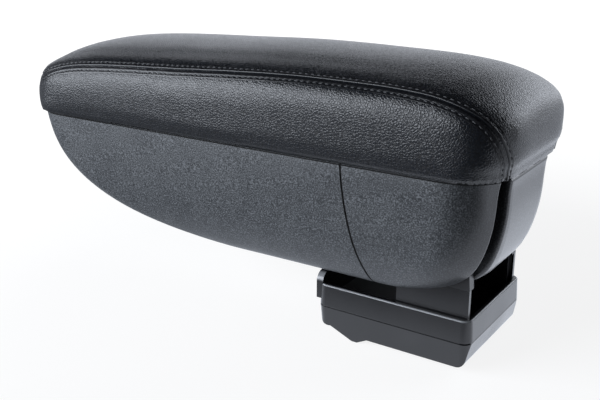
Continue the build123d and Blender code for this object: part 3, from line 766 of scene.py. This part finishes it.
def clear_view(tree, rays):
    """1 for rays that come straight from the camera or through glass, else 0."""
    return maths(tree, "MAXIMUM", rays["Is Camera Ray"], rays["Is Transmission Ray"])


floor_form = bmesh.new()
bmesh.ops.create_grid(floor_form, x_segments=8, y_segments=8, size=FLOOR_HALF,
                      matrix=Matrix.Translation((0, 0, FLOOR_LEVEL)))
floor = into_scene("floor", floor_form)
paper = bpy.data.materials.new("floor_paper")
paper.use_nodes = True
paper_tree = paper.node_tree
paper_tree.nodes.clear()
paper_rays = add(paper_tree, "LightPath", {}).outputs
paper_place = add(paper_tree, "TexCoord", {}).outputs["Object"]
paper_spot = axes(paper_tree, paper_place)

halo = round_glow(paper_tree, paper_place, scale=(1.1, 1.1, 1.1))
white_share = spread(paper_tree, halo, at_start=1.0, at_end=0.74, start=0.0, end=0.7)
white_paper = add(paper_tree, "BsdfDiffuse", {"Color": PAPER_WHITE})
white_glow = add(paper_tree, "Emission", {"Color": GLOW_WHITE, "Strength": GLOW_STRENGTH})
seen_paper = mix_shaders(paper_tree, white_share, white_paper, white_glow)
grey_paper = add(paper_tree, "BsdfDiffuse", {"Color": PAPER_GREY})
paper_view = mix_shaders(paper_tree, clear_view(paper_tree, paper_rays), grey_paper, seen_paper)

to_right = add(paper_tree, "VectorMath", {0: paper_place, 1: RIGHT_WAY},
               operation="DOT_PRODUCT").outputs["Value"]
along, to_back = paper_spot["X"], paper_spot["Y"]
back_lit = spread(paper_tree, to_back, at_start=0.04, at_end=1.0, start=-0.17, end=-0.08)
right_lit = spread(paper_tree, to_right, at_start=0.15, at_end=1.60, start=-0.36, end=-0.08)
far_right = spread(paper_tree, to_right, at_start=1.0, at_end=0.62, start=0.26, end=0.48)
right_fade = maths(paper_tree, "MULTIPLY", right_lit, far_right)
rear_lit = maths(paper_tree, "MULTIPLY", back_lit, right_fade)
left_near = spread(paper_tree, along, at_start=0.34, at_end=0.03, start=-0.15, end=0.12)
far_front = spread(paper_tree, to_back, at_start=2.5, at_end=1.0, start=-0.46, end=-0.30)
left_lit = maths(paper_tree, "MULTIPLY", left_near, far_front)
by_cheek = round_glow(paper_tree, paper_place, scale=(8, 8, 8), location=(-2.48, 0.32, 0))
by_tray = round_glow(paper_tree, paper_place, scale=(15, 20, 15), location=(-0.1, 1.2, 0))
tray_lit = maths(paper_tree, "MULTIPLY_ADD", by_tray, TRAY_GLOW, left_lit)
front_lit = maths(paper_tree, "MULTIPLY_ADD", by_cheek, CHEEK_GLOW, tray_lit)
mirrored = maths(paper_tree, "MAXIMUM", rear_lit, front_lit)
mirror_glow = add(paper_tree, "Emission", {"Color": MIRROR_TONE, "Strength": mirrored})
paper_mix = mix_shaders(paper_tree, paper_rays["Is Glossy Ray"], paper_view, mirror_glow)
add(paper_tree, "OutputMaterial", {"Surface": paper_mix.outputs["Shader"]})
floor.data.materials.append(paper)

world = bpy.data.worlds.new("surround")
bpy.context.scene.world = world
world.use_nodes = True
sky = world.node_tree
sky.nodes.clear()
sky_rays = add(sky, "LightPath", {}).outputs
sky_way = axes(sky, add(sky, "TexCoord", {}).outputs["Generated"])
sky_tone = tint(sky, sky_way["Z"], SKY_TONE, SKY_TOP_TONE, *SKY_EDGE)
behind = spread(sky, sky_way["Y"], at_start=0.06, at_end=1.50, start=0.25, end=0.65)
shine_level = blend(sky, sky_rays["Is Glossy Ray"], SKY_DIM, behind)
around = add(sky, "Background", {"Color": sky_tone, "Strength": shine_level})
backdrop = add(sky, "Background", {"Color": GLOW_WHITE, "Strength": 1.0})
sky_mix = mix_shaders(sky, clear_view(sky, sky_rays), around, backdrop)
add(sky, "OutputWorld", {"Surface": sky_mix.outputs["Shader"]})


def soft_lamp(name, spot, aim, width, height, power, colour):
    """A large soft lamp that faces a point."""
    data = bpy.data.lights.new(name, "AREA")
    data.shape = "RECTANGLE"
    data.size = width
    data.size_y = height
    data.energy = power
    data.color = colour
    lamp = bpy.data.objects.new(name, data)
    lamp.location = spot
    lamp.rotation_euler = (Vector(aim) - Vector(spot)).to_track_quat("-Z", "Y").to_euler()
    bpy.context.scene.collection.objects.link(lamp)


soft_lamp("front_left_lamp", (-0.95, -1.05, 0.48), ARMREST_MIDDLE,
          width=1.4, height=0.74, power=29.5, colour=LAMP_TONE)
soft_lamp("rear_right_lamp", (0.65, 1.15, 0.72), BIN_REAR,
          width=1.4, height=0.8, power=8.0, colour=REAR_LAMP_TONE)

camera_data = bpy.data.cameras.new("photo_camera")
camera_data.lens = 52.5
camera_data.sensor_width = 36.0
camera_data.clip_start = 0.01
camera = bpy.data.objects.new("photo_camera", camera_data)
camera.location = (0.223553, -0.476422, 0.261707)
camera.rotation_euler = (radians(71.3), 0.0, radians(33.65))
bpy.context.scene.collection.objects.link(camera)
bpy.context.scene.camera = camera
bpy.context.scene.view_settings.view_transform = "Standard"
